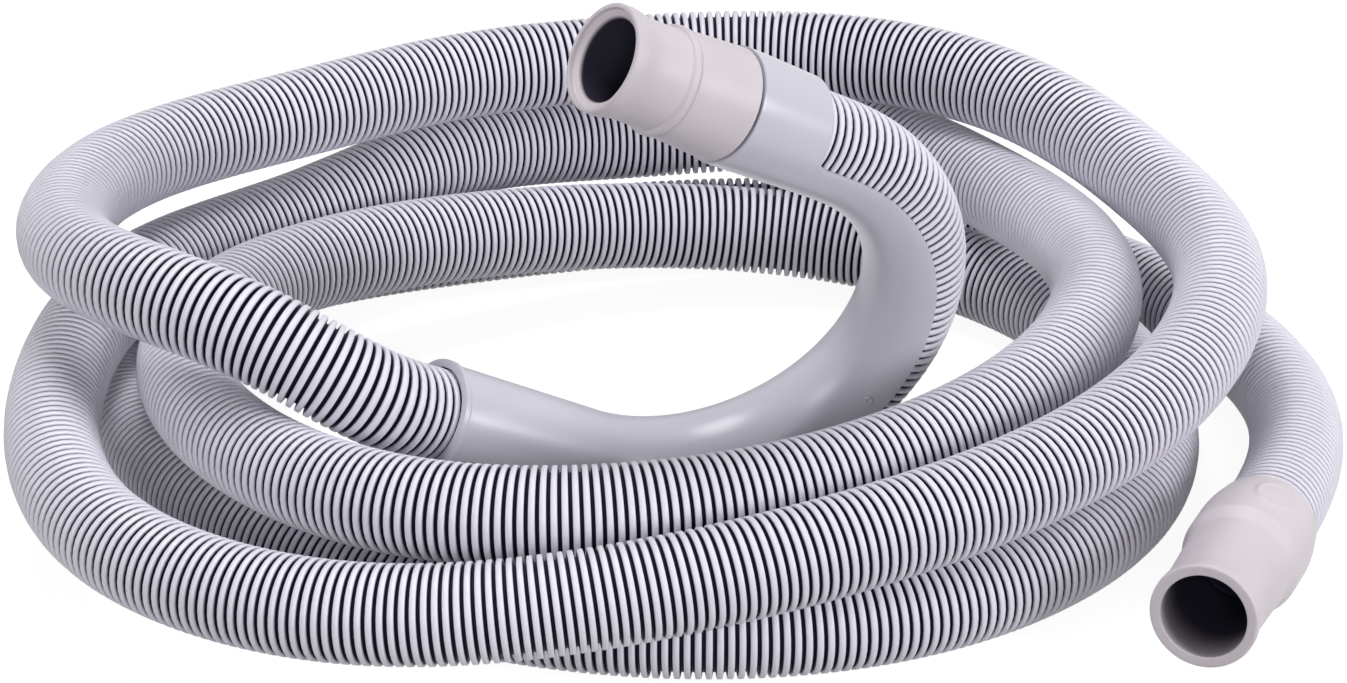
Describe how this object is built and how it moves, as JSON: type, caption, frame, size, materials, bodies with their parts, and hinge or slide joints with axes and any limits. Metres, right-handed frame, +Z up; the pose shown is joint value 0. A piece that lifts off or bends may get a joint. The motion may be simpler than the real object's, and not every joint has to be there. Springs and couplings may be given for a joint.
{
  "type": "washing machine drain hose",
  "caption": "Ribbed drain hose lying in a loose coil, with a soft cuff at each end and a hook-shaped guide holding the outlet end in a U bend.",
  "frame": {"origin": "on the floor, under the middle of the coil's bounding box", "axes": "+Z up, +X towards the right side where the inlet cuff lies, +Y away from the inlet cuff's mouth"},
  "size_m": [0.3815, 0.3511, 0.1748],
  "materials": {
    "hose_plastic": "satin pale grey, ribbed",
    "cuff_rubber": "matte warm grey",
    "guide_plastic": "satin light bluish grey"
  },
  "bodies": {
    "root": {"corrugated_hose": "hose_plastic", "inlet_cuff": "cuff_rubber", "outlet_cuff": "cuff_rubber", "hose_guide": "guide_plastic"}
  },
  "joints": []
}
